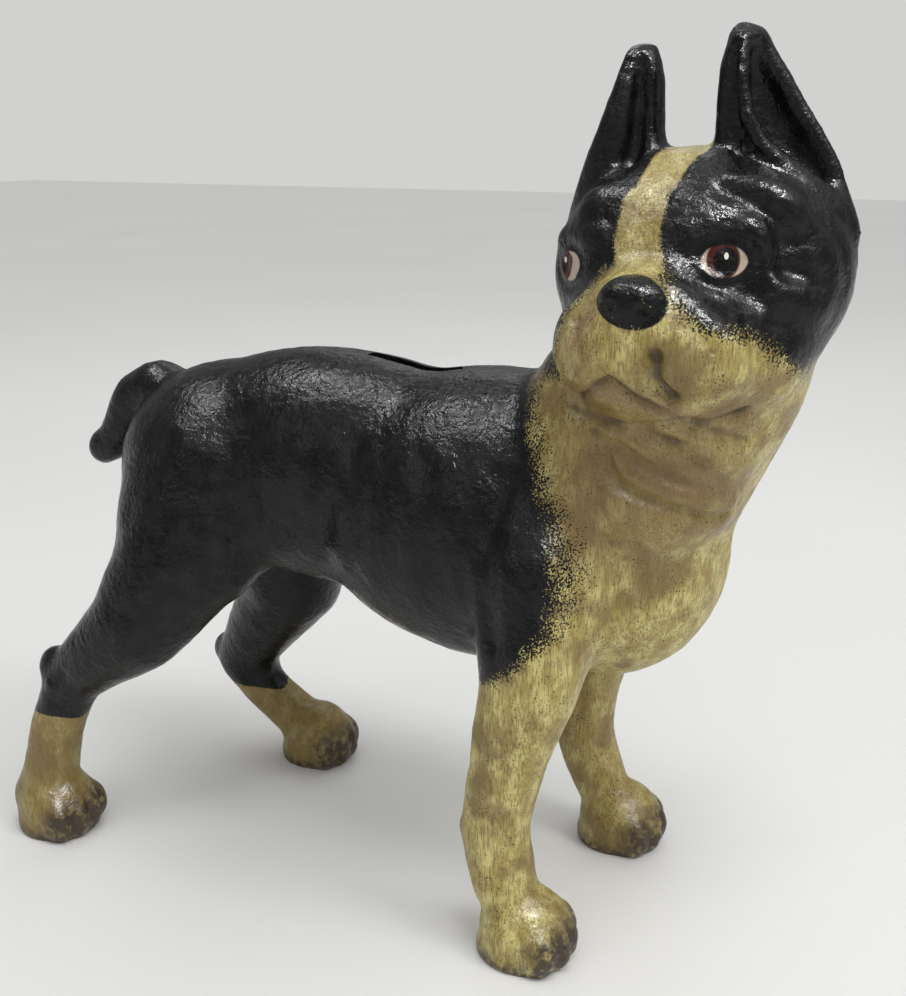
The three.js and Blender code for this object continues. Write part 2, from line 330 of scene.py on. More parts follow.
def refine(mesh):
    """Gives the face a spacing of half the form's, so that lids, lips and creases come out crisp."""
    bm = joined(mesh)
    fine = set()
    for face in bm.faces:
        middle = face.calc_center_median()
        left, up = (middle.x - PARTING) / MM, middle.z / MM
        forward = (STANCE.y - middle.y) / MM
        if left < -19 and up > 152 and forward > 62:
            fine.update(face.edges)
    bmesh.ops.subdivide_edges(bm, edges=sorted(fine, key=lambda edge: edge.index), cuts=1,
                              use_grid_fill=True)
    mesh = bpy.data.meshes.new("figure")
    bm.to_mesh(mesh)
    bm.free()
    return mesh


def lids(form, eye, across, up, half_wide, half_high):
    """A raised lid right round an eye, with a crease outside it."""
    eye, across, up = np.array(eye), np.array(across, float), np.array(up, float)
    ring = []
    for n in range(25):
        turn = 2 * math.pi * n / 24
        wide, high = math.cos(turn), math.sin(turn)
        ring.append(eye + across * half_wide * wide + up * half_high * np.sign(high) * abs(high) ** 1.3)
    form.stroke(ring, 1.9, 0.75)
    form.stroke([eye + (p - eye) * 1.42 for p in ring], 2.4, -0.55)


def model_face(form):
    form.stroke([LEFT_EYE], 14, -1.7)
    form.stroke([RIGHT_EYE], 12, -1.2)
    form.stroke([(104, -34, 201), (112, -33, 202), (118, -30, 200)], 6, 1.1)  # brows
    form.stroke([(80, -31, 199), (73, -26, 198), (67, -19, 197)], 5, 1.0)
    form.stroke([(104, -37, 188.5), (112, -36, 186.5), (119, -31, 187)], 5, -1.2)
    form.stroke([(109, -27, 210), (112.7, -26.7, 208.3), (119.8, -26.1, 204), (122, -26, 199)], 4.6, -1.5)
    form.stroke([(117, -29.7, 200.5)], 6.5, 1.3)
    form.stroke([(112, -24, 212.5), (118.4, -23.7, 210.8), (126, -22.8, 204.5)], 6.5, 1.0)
    form.stroke([(124.6, -24.8, 198), (124.6, -26, 193)], 5.4, -2.0)
    form.stroke([(123.5, -26, 192.3), (130.5, -20, 189.5)], 4.6, -0.9)
    form.stroke([(122.5, -28.9, 186.5), (131.6, -20.4, 183)], 6.5, 1.5)
    form.stroke([(96, -20, 214), (92, -31, 203), (92, -34, 197)], 6, -1.1)
    form.stroke([(101.7, -29, 207.3), (107.5, -29.2, 205.5)], 6, 0.5)
    form.stroke([(127, -17, 207), (132, -12, 196), (133, -12, 188)], 4, -0.9)
    # the muzzle's shoulder
    form.stroke([(104.1, -42, 188.6), (111.1, -45.8, 182.9), (115.7, -44.4, 178.8)], 5.5, 1.2)
    form.stroke([(100, -40, 195), (106, -39, 190), (113, -38, 186.5)], 3.5, -0.8)
    # the ears
    form.stroke([(106, -13, 241), (106.3, -13.5, 230), (107.2, -14, 221), (109, -14, 214)], 1.9, -1.4)
    form.stroke([(107.6, -13.5, 240), (108.4, -15.5, 232), (110.2, -16, 225), (113.4, -15.5, 219.5),
                 (119, -13, 214.5), (125.6, -10.5, 209), (131, -6.5, 203.5)], 2.6, 0.8)
    form.stroke([(111.5, -7, 232), (116.5, -6, 223), (122, -5.5, 214), (127.5, -5, 207)], 4.2, -1.0)
    form.stroke([(83.9, -12, 238), (83.7, -12.5, 228), (83.2, -13, 219), (81.8, -13.5, 214)], 2.6, -2.0)
    form.stroke([(83, -12, 212.5), (86, -12, 212)], 2.8, -1.0)
    form.polish([(112, -26, 208), (124, -25, 200), (128, -24, 188)], 14, 5)
    form.stroke([(91, -49, 194), (98, -48, 194)], 4, -0.9)  # the nose is flat on top
    lids(form, LEFT_EYE, (0.94, 0.33, 0.0), (-0.05, 0.12, 1), 5.4, 3.7)
    lids(form, RIGHT_EYE, (-0.69, 0.72, 0), (0, 0.1, 1), 5.4, 3.6)
    upper_lip = [(77, -33, 160), (82, -42, 163), (86.5, -47, 166.2), (91, -48.6, 168.6), (95.2, -46, 165),
                 (100.1, -44.8, 162.6), (107.6, -37.5, 159)]
    form.stroke(upper_lip, 2.4, -1.6)
    form.stroke([(f, l - 0.8, u + 2.8) for f, l, u in upper_lip], 2.4, 0.9)
    form.stroke([(108, -34, 157.6), (112.5, -31, 158.4), (117, -28, 160)], 2, -1.4)
    form.stroke([(109, -35, 160.5), (116, -30, 162.8)], 2.4, 0.8)
    form.stroke([(101.6, -50.1, 174.5), (101.5, -48.3, 168.8), (104.6, -46.3, 165)], 2.3, -2.0)
    form.stroke([(101.4, -50, 174.6)], 2.8, -0.9)
    form.stroke([(104.6, -46.4, 165.4)], 3, -0.9)
    form.stroke([(98, -50, 179), (96, -51, 175)], 3, -0.4)
    form.stroke([(118, -38, 181), (119.5, -36, 174), (117, -31, 165)], 3.6, -1.0)
    form.stroke([(81.9, -46.8, 181.1), (82.3, -49.2, 175.8), (82, -47, 168.8)], 2.6, -0.9)
    form.stroke([(91.8, -49.6, 172.5)], 4, 0.6)
    form.stroke([(97.9, -49.9, 173.3)], 3.4, 0.6)
    form.stroke([(90.5, -52, 185)], 2.4, -1.3)  # nostrils
    form.stroke([(98.6, -51.5, 184.6)], 2.4, -1.3)
    form.stroke([(88, -46, 181), (94.6, -50, 179.6), (101.5, -46, 181.2)], 2, -0.6)
    form.stroke([(89.5, -46, 193), (95, -45, 194.4), (101, -43.5, 192.6)], 2.2, 0.5)
    for place in ((90, -50, 170.8), (93.5, -50, 172.2), (97, -50, 171.5), (113.5, -48, 176.2),
                  (108, -49, 174)):
        form.stroke([place], 1.2, -0.5)


def model_throat(form):
    lower_jaw = [(76, -30, 157), (83, -34, 155.9), (90, -37, 155.8), (98, -40, 157), (105.5, -40, 158.5)]
    creases = (
        (0.9, [(108, -36, 157.6), (112.7, -30.7, 154.8), (117.3, -24.5, 152)]),
        (1.5, [(97.3, -37.3, 155.2), (104.1, -35.2, 151.7), (108.3, -32.1, 147.8), (112, -25, 142.5)]),
        (1.4, [(81.6, -34.9, 152.9), (87.2, -35.9, 150.5), (91.7, -36.5, 148.7), (99.1, -35.7, 144.4),
               (107.5, -27.4, 139.9), (113.9, -16.7, 139.2)]),
        (1.0, [(93, -36.8, 153), (98, -36.5, 149.5), (102, -34.5, 146)]),
        (1.9, [(85.2, -35.2, 149), (87.6, -35.1, 143.6), (90.6, -35.1, 139.7), (98.9, -33.9, 136.4),
               (106, -29.7, 133.7), (112.5, -19.2, 130.7)]),
        (1.0, [(81.8, -34.3, 140.2), (86.3, -35, 130.7), (86.6, -30.4, 116.3), (89.1, -27.6, 107.7)]),
        (0.7, [(93.4, -30, 126), (93.4, -27.7, 119.1), (95, -24.5, 107.6)]),
    )
    form.stroke(lower_jaw, 2.8, -1.3)
    for depth, crease in creases:
        form.stroke(crease, 2.9, -depth)
        form.stroke([(f, l, u + 3.6) for f, l, u in crease], 3.8, 0.6 * depth)


def model_body(form):
    for side in (-1, 1):
        ribs = (
            ((-6.9, 26.8, 139), (-4.5, 29, 122), (-8, 24.8, 104)),
            ((4, 26, 141), (8, 31, 124), (6, 28, 104)),
            ((15, 27, 142), (20, 33.5, 126), (18, 31, 104)),
            ((27, 29, 141), (33, 35.8, 126), (32, 34, 100)),
            ((40, 31, 141), (46, 36.3, 126), (46, 36, 100)),
        )
        for rib in ribs:
            form.stroke([(f, side * l, u) for f, l, u in rib], 4.6, 0.42)
            form.stroke([(f + 5.6, side * (l + 0.6), u) for f, l, u in rib], 3.6, -0.25)
        form.stroke([(56.7, side * 32, 136.5), (55.7, side * 37, 124), (57.5, side * 41, 112),
                     (59, side * 44, 97)], 6, -1.5)
        form.stroke([(69, side * 33, 138), (72, side * 37, 122), (72, side * 42, 106),
                     (70, side * 45, 94)], 9, 1.2)
        form.stroke([(62, side * 34, 130), (66, side * 38, 112)], 5, 0.7)
        form.stroke([(-24, side * 28, 137), (-27, side * 31, 118), (-30, side * 28, 100)], 9, -1.3)
        form.stroke([(-44, side * 33, 134), (-48, side * 37, 112)], 14, 1.3)
        form.stroke([(46.7, side * 16.3, 154.8)], 2.6, 0.5)
        form.stroke([(53.6, side * 15.7, 155.4)], 2.6, 0.5)
        form.stroke([(84, side * 14, 98), (80, side * 10, 84)], 8, 0.9)
    form.stroke([(-72, -40, 80), (-80, -41, 68)], 5, 0.7)
    form.stroke([(-84, -46, 60), (-90, -46, 50)], 2.6, -0.6)
    form.stroke([(-92, -47, 55)], 3, 0.8)
    form.stroke([(64, -42, 52), (62, -42, 30)], 4, -0.7)
    form.stroke([(50, -34, 36)], 6, 1.3)
    for paw_forward, paw_left in PAWS:
        for gap in (-6, 0, 6):
            ahead = 11.5 - 0.07 * gap * gap
            form.stroke([(paw_forward + ahead - 3, paw_left + gap, 15),
                         (paw_forward + ahead + 2.5, paw_left + gap, 9),
                         (paw_forward + ahead + 3.2, paw_left + gap, 3)], 2.0, -1.0)
    form.stroke([(68, -30, 92), (66, -31, 80)], 5, -0.6)


def model_seam(form):
    """The two castings were fettled by hand along their joint, which left a shallow uneven groove."""
    forward, left, up = form.points.T
    waver = 0.75 + 0.25 * np.sin(forward * 0.21 + up * 0.13) + 0.2 * np.sin(forward * 0.57 - up * 0.41)
    depth = np.clip(1 - (left / 1.8) ** 2, 0, 1) * 0.5 * waver
    form.points -= form.normals() * depth[:, None]
    for place in ((135.5, 0, 192), (130, 0, 169), (117, 0, 142), (114, 0, 135), (108, 0, 113),
                  (101, 0, 97)):
        f, l, u = place
        form.stroke([(f, l, u + 2.4), (f, l, u - 2.4)], 2, -0.7)


def cast_skin(form):
    """The slightly lumpy skin that sand leaves on iron under thick paint."""
    f, l, u = form.points.T * 0.34
    lumps = np.sin(f * 1.9 + 1.3 * np.sin(l * 1.3 + u)) * np.sin(l * 2.1 + 1.1 * np.sin(u * 1.7))
    lumps = lumps * np.sin(u * 1.8 + f)
    f, l, u = form.points.T * 0.12
    swells = np.sin(f * 1.7 + np.sin(u * 1.9)) * np.sin(l * 1.9 + np.sin(f * 1.3)) * np.sin(u * 2.3 + l)
    form.points += form.normals() * (0.10 * lumps + 0.22 * swells)[:, None]


def make_form():
    bm = joined(make_base())
    add_paws(bm)
    add_face(bm)
    add_ears(bm)
    add_tail(bm)
    form = Form(refine(remeshed("figure", bm, FORM_GRAIN)))
    form.smooth(7)
    model_face(form)
    model_throat(form)
    model_body(form)
    cast_skin(form)
    model_seam(form)
    form.smooth(1)
    form.points[:, 2] = np.maximum(form.points[:, 2], 0)
    return form.settle()


# ---------------------------------------------------------------- the castings
def cavity(bm):
    """What the core leaves empty: the trunk, neck and head less the wall."""
    for place, radii in (RIBS, WAIST, RUMP, BREAST):
        ball(bm, place, [radius - WALL for radius in radii])
    limb(bm, [(place, radius - WALL) for place, radius in NECK])
    place, radii = SKULL
    ball(bm, place, [radius - 1.5 * WALL for radius in radii])


def solid(name, bm):
    mesh = bpy.data.meshes.new(name)
    bm.to_mesh(mesh)
    bm.free()
    made = bpy.data.objects.new(name, mesh)
    bpy.context.scene.collection.objects.link(made)
    return made


def block(low, high):
    bm = bmesh.new()
    low, high = Vector(low), Vector(high)
    size = high - low
    move = Matrix.Translation((low + high) / 2) @ Matrix.Diagonal((size.x, size.y, size.z, 1))
    bmesh.ops.create_cube(bm, size=1, matrix=move)
    return bm


def bar(radius, start, end, forward, up, segments=48):
    """A round bar across the dog, from one place left of the parting plane to another."""
    bm = bmesh.new()
    move = Matrix.Translation(at(forward, (start + end) / 2, up))
    move = move @ Matrix.Rotation(math.radians(90), 4, "Y")
    bmesh.ops.create_cone(bm, cap_ends=True, segments=segments, radius1=radius * MM,
                          radius2=radius * MM, depth=(end - start) * MM, matrix=move)
    return bm


def lone_mesh(obj):
    """Removes an object and keeps its mesh."""
    mesh = obj.data
    bpy.data.objects.remove(obj)
    return mesh


def cut(piece, steps):
    """Joins tools to a piece, or takes them away, one after the other."""
    for how, tool in steps:
        change = piece.modifiers.new(how, "BOOLEAN")
        change.operation = how
        change.solver = "MANIFOLD"
        change.object = tool
        change.material_mode = "TRANSFER"
    name = piece.name
    mesh = applied(piece)
    mesh.name = name
    made = bpy.data.objects.new(name, mesh)
    bpy.context.scene.collection.objects.link(made)
    return made


painted_iron = bpy.data.materials.new("painted iron")
raw_iron = bpy.data.materials.new("raw iron")
screw_steel = bpy.data.materials.new("screw steel")
for material in (painted_iron, raw_iron, screw_steel):
    material.use_nodes = True

figure_mesh = make_form()
core_bm = bmesh.new()
cavity(core_bm)
core = Form(remeshed("core", core_bm, 2.2))
core.smooth(6)
core_object = bpy.data.objects.new("core", core.settle())
bpy.context.scene.collection.objects.link(core_object)

SCREWS = []
for node in ("front_screw", "rear_screw"):
    low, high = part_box(node)
    forward = (STANCE.y - (low.y + high.y) / 2) / MM
    up = (low.z + high.z) / 2 / MM
    SCREWS.append((node, forward, up, (low.x - PARTING) / MM, (high.x - PARTING) / MM))


def half(name, side):
    """One casting: side is -1 for the dog's right and 1 for its left."""
    tools = [core_object]
    steps = [("DIFFERENCE", core_object)]

    def tool(how, bm, material=raw_iron):
        made = solid("tool", bm)
        made.data.materials.append(material)
        tools.append(made)
        steps.append((how, made))

    for node, forward, up, tip, top in SCREWS:
        seat = top - HEAD_THICK
        if side < 0:
            tool("UNION", bar(SCREW_RADIUS + BOSS_WALL, tip - 12, 4, forward, up))
            tool("DIFFERENCE", bar(SCREW_RADIUS + CLEARANCE, tip - 1, 8, forward, up))
        else:
            tool("UNION", bar(HEAD_RADIUS + CLEARANCE + BOSS_WALL, -4, seat + 1, forward, up))
            tool("DIFFERENCE", bar(SCREW_RADIUS + CLEARANCE, -8, seat + 1, forward, up))
            tool("DIFFERENCE", bar(HEAD_RADIUS + CLEARANCE, seat, seat + 30, forward, up), painted_iron)
    slot = block(at(SLOT_FRONT, -SLOT_HALF_WIDTH, 145), at(SLOT_BACK, SLOT_HALF_WIDTH, 180))
    bmesh.ops.bevel(slot, geom=[e for e in slot.edges if abs(e.verts[0].co.z - e.verts[1].co.z) > 0.01],
                    affect="EDGES", offset=SLOT_CORNER * MM, segments=4, profile=0.5, material=-1)
    tool("DIFFERENCE", slot, painted_iron)
    edge = side * SEAM / 2
    # a block that ends at the parting plane on one side and well past the dog on the others
    inner, outer = (edge, 90) if side > 0 else (-90, edge)
    tool("INTERSECT", block(at(200, inner, -20), at(-200, outer, 320)))
    piece = bpy.data.objects.new(name, figure_mesh.copy())
    piece.data.materials.append(painted_iron)
    bpy.context.scene.collection.objects.link(piece)
    piece = cut(piece, steps)
    for made in tools[1:]:
        bpy.data.objects.remove(made)
    bm = joined(lone_mesh(piece))
    bmesh.ops.remove_doubles(bm, verts=bm.verts, dist=0.00002)
    bmesh.ops.recalc_face_normals(bm, faces=bm.faces)
    mesh = bpy.data.meshes.new(name)
    bm.to_mesh(mesh)
    bm.free()
    for material in (painted_iron, raw_iron):
        mesh.materials.append(material)
    piece = bpy.data.objects.new(name + "_casting", mesh)
    bpy.context.scene.collection.objects.link(piece)
    mesh.shade_smooth()
    mesh.set_sharp_from_angle(angle=math.radians(48))
    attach(piece, name)
    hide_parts(name)
    return piece


core_object.data.materials.append(raw_iron)
castings = [half("right_half", -1), half("left_half", 1)]
bpy.data.objects.remove(core_object)

# ---------------------------------------------------------------- screws
def screw(node, forward, up, tip, top):
    """A slotted screw across the dog: a low domed head, a plain shank and a cut thread near the tip."""
    seat = top - HEAD_THICK
    grip = tip + THREAD_LENGTH
    steps = [(tip, 0.0), (tip, 1.7), (tip + 0.9, SCREW_RADIUS), (grip, SCREW_RADIUS),
             (seat, SCREW_RADIUS), (seat, HEAD_RADIUS - 0.2), (seat + 0.25, HEAD_RADIUS),
             (top - 1.2, HEAD_RADIUS), (top - 0.55, 4.3), (top - 0.15, 3.0), (top, 0.0)]
    bm = bmesh.new()
    points = []
    for (start, radius), (end, next_radius) in zip(steps, steps[1:]):
        count = max(1, round((end - start) / 0.12)) if (start, end) == (tip + 0.9, grip) else 1
        for n in range(count):
            points.append((start + (end - start) * n / count,
                           radius + (next_radius - radius) * n / count))
    points.append(steps[-1])
    verts = [bm.verts.new(at(forward, left, up + radius)) for left, radius in points]
    edges = [bm.edges.new(pair) for pair in zip(verts, verts[1:])]
    centre = at(forward, 0, up)
    bmesh.ops.spin(bm, geom=verts + edges, cent=centre, axis=(1, 0, 0), angle=math.tau, steps=40,
                   use_merge=True)
    bmesh.ops.remove_doubles(bm, verts=bm.verts, dist=0.00001)
    for vert in bm.verts:
        left = (vert.co.x - PARTING) / MM
        out = vert.co - centre
        out.x = 0
        if tip + 0.5 < left < grip and out.length > 2 * MM:
            phase = (left / THREAD_PITCH + math.atan2(out.z, out.y) / math.tau) % 1
            fade = min(1, (left - tip - 0.5) / 0.8, (grip - left) / 0.8)
            vert.co -= out.normalized() * fade * THREAD_DEPTH * MM * abs(2 * phase - 1)
    bmesh.ops.recalc_face_normals(bm, faces=bm.faces)
    piece = solid(node + "_shape", bm)
    piece.data.materials.append(screw_steel)
    low = at(forward + 6, top - DRIVER_SLOT_DEPTH, up - DRIVER_SLOT_HALF_WIDTH)
    high = at(forward - 6, top + 2, up + DRIVER_SLOT_HALF_WIDTH)
    groove = solid("tool", block(low, high))
    groove.data.materials.append(screw_steel)
    piece.name = "tool"
    piece = cut(piece, [("DIFFERENCE", groove)])
    bpy.data.objects.remove(groove)
    mesh = lone_mesh(piece)
    piece = bpy.data.objects.new(node + "_turned", mesh)
    bpy.context.scene.collection.objects.link(piece)
    mesh.materials.clear()
    mesh.materials.append(screw_steel)
    mesh.shade_smooth()
    mesh.set_sharp_from_angle(angle=math.radians(35))
    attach(piece, node)
    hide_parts(node)


for facts in SCREWS:
    screw(*facts)


# ---------------------------------------------------------------- where each paint and the painted shade go
def soft(distance, width):
    """0 outside a border, 1 inside it, over a width in millimetres."""
    return np.clip(0.5 + distance / width, 0, 1)


def line_distance(points, line):
    line = np.array(line, float)
    best = np.full(len(points), np.inf)
    for start, end in zip(line, line[1:]):
        run = end - start
        share = np.clip((points - start) @ run / (run @ run), 0, 1)
        best = np.minimum(best, np.linalg.norm(points - start - share[:, None] * run, axis=1))
    return best


def inside_outline(points, outline):
    """Distance inside a closed outline in millimetres, below 0 outside it."""
    outline = np.array(outline, float)
    x, y = points.T
    odd = np.zeros(len(points), bool)
    for (x1, y1), (x2, y2) in zip(outline, np.roll(outline, -1, axis=0)):
        if y1 != y2:
            odd ^= ((y1 > y) != (y2 > y)) & (x < (x2 - x1) * (y - y1) / (y2 - y1) + x1)
    distance = line_distance(points, np.vstack([outline, outline[:1]]))
    return np.where(odd, distance, -distance)


FACE_CREAM = ((92, 197), (84, 191), (79.5, 184), (75.5, 176), (73, 164), (60, 162), (40, 120),
              (40, -5), (150, -5), (140, 155), (132, 162), (128, 168.5), (123, 175.7), (118, 179.5),
              (111.5, 181.5), (105, 186), (100.5, 190.5), (97.5, 196))
BODY_BORDER_UP = (0, 80, 85, 93, 98, 105, 115, 124, 134, 144, 153, 161, 175)
BODY_BORDER_FORWARD = (30, 44, 60, 69, 74, 77, 78.5, 76, 71, 67, 63.5, 59, 56)
MOUTH = ((78, -36, 163), (88, -47, 166), (100, -46, 163), (109, -38, 158), (117, -27, 161))
# painted shade along the crease at the side of the snout and in the throat's folds
SNOUT_SIDE = ((82, -48, 182), (81, -49, 176), (81, -47, 168))
FOLDS = (((75, -29, 159), (95, -38, 154), (116, -28, 155)),
         ((84, -34, 147), (100, -34, 143), (116, -21, 138)))


def paint_masks(piece):
    form = Form(piece.data)
    points = form.points
    forward, left, up = points.T
    border = np.interp(up, BODY_BORDER_UP, BODY_BORDER_FORWARD)
    body = soft(forward - border, np.where(up > 96, 13.0, 8.0))
    flat = points[:, (0, 2)]
    face = np.where(left < -2, soft(inside_outline(flat, FACE_CREAM), np.where(left < -20, 5.0, 9.0)),
                    soft(159 + 0.09 * (forward - 70) + 2 * np.sin(forward * 0.11) - up, 9))
    blaze = 0
    for start, end, radius in (
        ((98.5, -3, 219), (94, -17, 216.5), 5.8), ((94, -17, 216.5), (92.8, -25, 211), 5),
        ((92.8, -25, 211), (90.8, -29, 206.5), 4.2), ((90.8, -29, 206.5), (90.6, -33, 199), 5.6),
        ((90.6, -33, 199), (91.5, -38, 193), 6),
    ):
        blaze = np.maximum(blaze, soft(radius - line_distance(points, (start, end)), 4.5))
    hind = soft(np.where(left < 0, 43.6, 27.0) + 0.8 * np.sin(left * 0.5) - up, 2.0) * (forward < -15)
    spatter = np.clip(1 - 0.75 * (blaze > 0) - 0.8 * (forward < -15), 0.2, 1)
    cream = np.maximum(np.minimum(body, face), np.maximum(blaze, hind))
    nose_up = up - 186.2 + 0.12 * (forward - 94.6)
    nose = np.sqrt(((forward - 94.6) / 8.6) ** 2 + ((left + 47.5) / 7.8) ** 2 + (nose_up / 6.3) ** 2)
    # how hollow the skin is at each point, which the paint darkens as painted shade in creases and recesses
    a, b = form.pairs.T
    spacing = np.linalg.norm(points[a] - points[b], axis=1)
    count = len(points)
    spacing = np.bincount(a, spacing, count) + np.bincount(b, spacing, count)
    spacing = spacing / np.maximum(form.valence, 1)
    mean = np.stack([form.around(points[:, axis]) for axis in range(3)], axis=1)
    hollow = ((mean - points) * form.normals()).sum(1) / np.maximum(spacing, 0.3) ** 2
    for _ in range(4):
        hollow = form.around(hollow)
    # a flesh tint along the mouth, and painted shade at the throat, along the side of the snout and in the
    # throat's folds
    flesh_and_shade = np.clip(1 - line_distance(points, MOUTH) / 6, 0, 1)
    throat = np.clip(1.4 - np.linalg.norm(points - (92, -34, 145), axis=1) / 28, 0, 1)
    flesh_and_shade = np.maximum(flesh_and_shade, 0.25 * throat)
    far_leg = (forward > 30) * (left > 5) * np.clip((95 - up) / 35, 0, 1)
    # painted shade with dirt: the throat under the head, the hind legs and the lower far fore leg darkened
    darkening = np.maximum(0.6 * throat, np.maximum(0.65 * (forward < -15), 0.4 * far_leg))
    flesh_and_shade = np.maximum(flesh_and_shade, 0.7 * np.clip(1 - line_distance(points, SNOUT_SIDE) / 6, 0, 1))
    for fold in FOLDS:
        flesh_and_shade = np.maximum(flesh_and_shade, 0.6 * np.clip(1 - line_distance(points, fold) / 8, 0, 1))
    toes = 0.9 * np.clip(1 - up / 6, 0, 1)
    for paw_forward, paw_left in PAWS:
        ahead = np.clip((forward - paw_forward - 1) / 9, 0, 1) * (np.abs(left - paw_left) < 20)
        toes = np.maximum(toes, ahead * (forward < paw_forward + 25) * np.clip((17 - up) / 8, 0, 1))
    masks = {
        "cream": cream,
        "nose": soft(1 - nose, 0.3),
        "hollow": np.clip(0.5 + hollow * 2.2, 0, 1),
        "flesh_and_shade": flesh_and_shade,
        "darkening": darkening,
        "toes": toes,
        "spatter": spatter,
    }
    for name, values in masks.items():
        layer = piece.data.attributes.new(name, "FLOAT", "POINT")
        layer.data.foreach_set("value", values.astype(np.float32))


for piece in castings:
    paint_masks(piece)


# ---------------------------------------------------------------- paint, iron and steel
class Paint:
    """Shader nodes for one material, joined by short calls."""

    def __init__(self, material):
        self.nodes = material.node_tree.nodes
        self.links = material.node_tree.links
        self.shader = self.nodes["Principled BSDF"]
        self.place = self.nodes.new("ShaderNodeTexCoord").outputs["Object"]

    def put(self, socket, value):
        if isinstance(value, bpy.types.NodeSocket):
            self.links.new(value, socket)
        else:
            socket.default_value = value

    def math(self, how, a, b=0.0, clamp=False):
        node = self.nodes.new("ShaderNodeMath")
        node.operation = how
        node.use_clamp = clamp
        self.put(node.inputs[0], a)
        self.put(node.inputs[1], b)
        return node.outputs[0]

    def step(self, value, low, high, to_low=0.0, to_high=1.0):
        node = self.nodes.new("ShaderNodeMapRange")
        node.interpolation_type = "SMOOTHSTEP"
        self.put(node.inputs["Value"], value)
        for name, number in (("From Min", low), ("From Max", high), ("To Min", to_low),
                             ("To Max", to_high)):
            self.put(node.inputs[name], number)
        return node.outputs["Result"]

    def mix(self, share, a, b):
        """A colour between two others."""
        node = self.nodes.new("ShaderNodeMix")
        node.data_type = "RGBA"
        self.put(node.inputs["Factor"], share)
        for socket, colour in ((node.inputs["A"], a), (node.inputs["B"], b)):
            colour_socket = [s for s in node.inputs if s.name == socket.name and s.type == "RGBA"][0]
            self.put(colour_socket, colour if isinstance(colour, bpy.types.NodeSocket) else (*colour, 1))
        return [s for s in node.outputs if s.type == "RGBA"][0]

    def noise(self, grain, detail=3.0, stretch=(1, 1, 1), shift=(0, 0, 0)):
        """Noise with a grain in millimetres."""
        move = self.nodes.new("ShaderNodeMapping")
        self.put(move.inputs["Vector"], self.place)
        move.inputs["Location"].default_value = shift
        move.inputs["Scale"].default_value = [1 / (grain * MM * part) for part in stretch]
        node = self.nodes.new("ShaderNodeTexNoise")
        self.put(node.inputs["Vector"], move.outputs["Vector"])
        node.inputs["Scale"].default_value = 1
        node.inputs["Detail"].default_value = detail
        return node.outputs["Fac"]

    def attribute(self, name):
        node = self.nodes.new("ShaderNodeAttribute")
        node.attribute_name = name
        return node.outputs["Fac"]

    def along(self, centre, way):
        """Distance in millimetres from a place on the dog, along a way (forward, left, up)."""
        less = self.nodes.new("ShaderNodeVectorMath")
        less.operation = "SUBTRACT"
        self.put(less.inputs[0], self.place)
        less.inputs[1].default_value = at(*centre)
        dot = self.nodes.new("ShaderNodeVectorMath")
        dot.operation = "DOT_PRODUCT"
        self.put(dot.inputs[0], less.outputs["Vector"])
        forward, left, up = Vector(way).normalized() / MM
        dot.inputs[1].default_value = (left, -forward, up)
        return dot.outputs["Value"]

    def oval(self, u, v, centre, half_wide, half_high, power_u=2.0, power_v=2.0, blur=0.12):
        """1 inside an oval and 0 outside."""
        wide = self.math("MULTIPLY", self.math("SUBTRACT", u, centre[0]), 1 / half_wide)
        wide = self.math("ABSOLUTE", wide)
        high = self.math("MULTIPLY", self.math("SUBTRACT", v, centre[1]), 1 / half_high)
        high = self.math("ABSOLUTE", high)
        total = self.math("ADD", self.math("POWER", wide, power_u), self.math("POWER", high, power_v))
        return self.step(total, 1 + blur, 1 - blur)

    def bump(self, height, depth, strength=1.0, normal=None):
        node = self.nodes.new("ShaderNodeBump")
        node.inputs["Distance"].default_value = depth * MM
        node.inputs["Strength"].default_value = strength
        self.put(node.inputs["Height"], height)
        if normal is not None:
            self.put(node.inputs["Normal"], normal)
        return node.outputs["Normal"]


BLACK = (0.0028, 0.003, 0.0034)
BLACK_WORN = (0.009, 0.009, 0.0088)
CREAM = (0.38, 0.30, 0.078)
CREAM_PALE = (0.62, 0.55, 0.21)
CREAM_DULL = (0.17, 0.105, 0.026)
# a brown for dirt specks and worn toes, and for the painted shade in the hollows
GRIME_AND_SHADE = (0.045, 0.028, 0.013)
# a flesh tint for the mouth, also used for painted shade in creases
FLESH_AND_SHADE = (0.21, 0.125, 0.065)
EYE_WHITE = (0.50, 0.42, 0.33)
EYE_BROWN = (0.07, 0.014, 0.010)

paint = Paint(painted_iron)
fine = paint.noise(0.5, 2)
coarse = paint.noise(7, 4)
patch = paint.noise(26, 3, shift=(3, 1, 2))
reach = paint.attribute("spatter")
shade = paint.math("ADD", paint.math("MULTIPLY", paint.math("SUBTRACT", fine, 0.5), 2.6),
                   paint.math("MULTIPLY", paint.math("SUBTRACT", coarse, 0.5), 0.9))
reach = paint.math("MULTIPLY", reach, paint.step(paint.attribute("cream"), 0, 0.2))
shade = paint.math("MULTIPLY", shade, reach)
cream_edge = paint.math("ADD", paint.attribute("cream"), shade)
flecks = paint.step(paint.noise(0.6, 1, shift=(7, 0, 1)), 0.76, 0.80)
flecks = paint.math("MULTIPLY", flecks, paint.step(patch, 0.5, 0.62))
flank = paint.step(paint.along((60, 0, 0), (1, 0, 0)), 8, -12)
flecks = paint.math("MULTIPLY", flecks, paint.math("MULTIPLY", flank, 0.5))
is_cream = paint.math("MAXIMUM", paint.step(cream_edge, 0.40, 0.64), flecks)
hollow = paint.attribute("hollow")

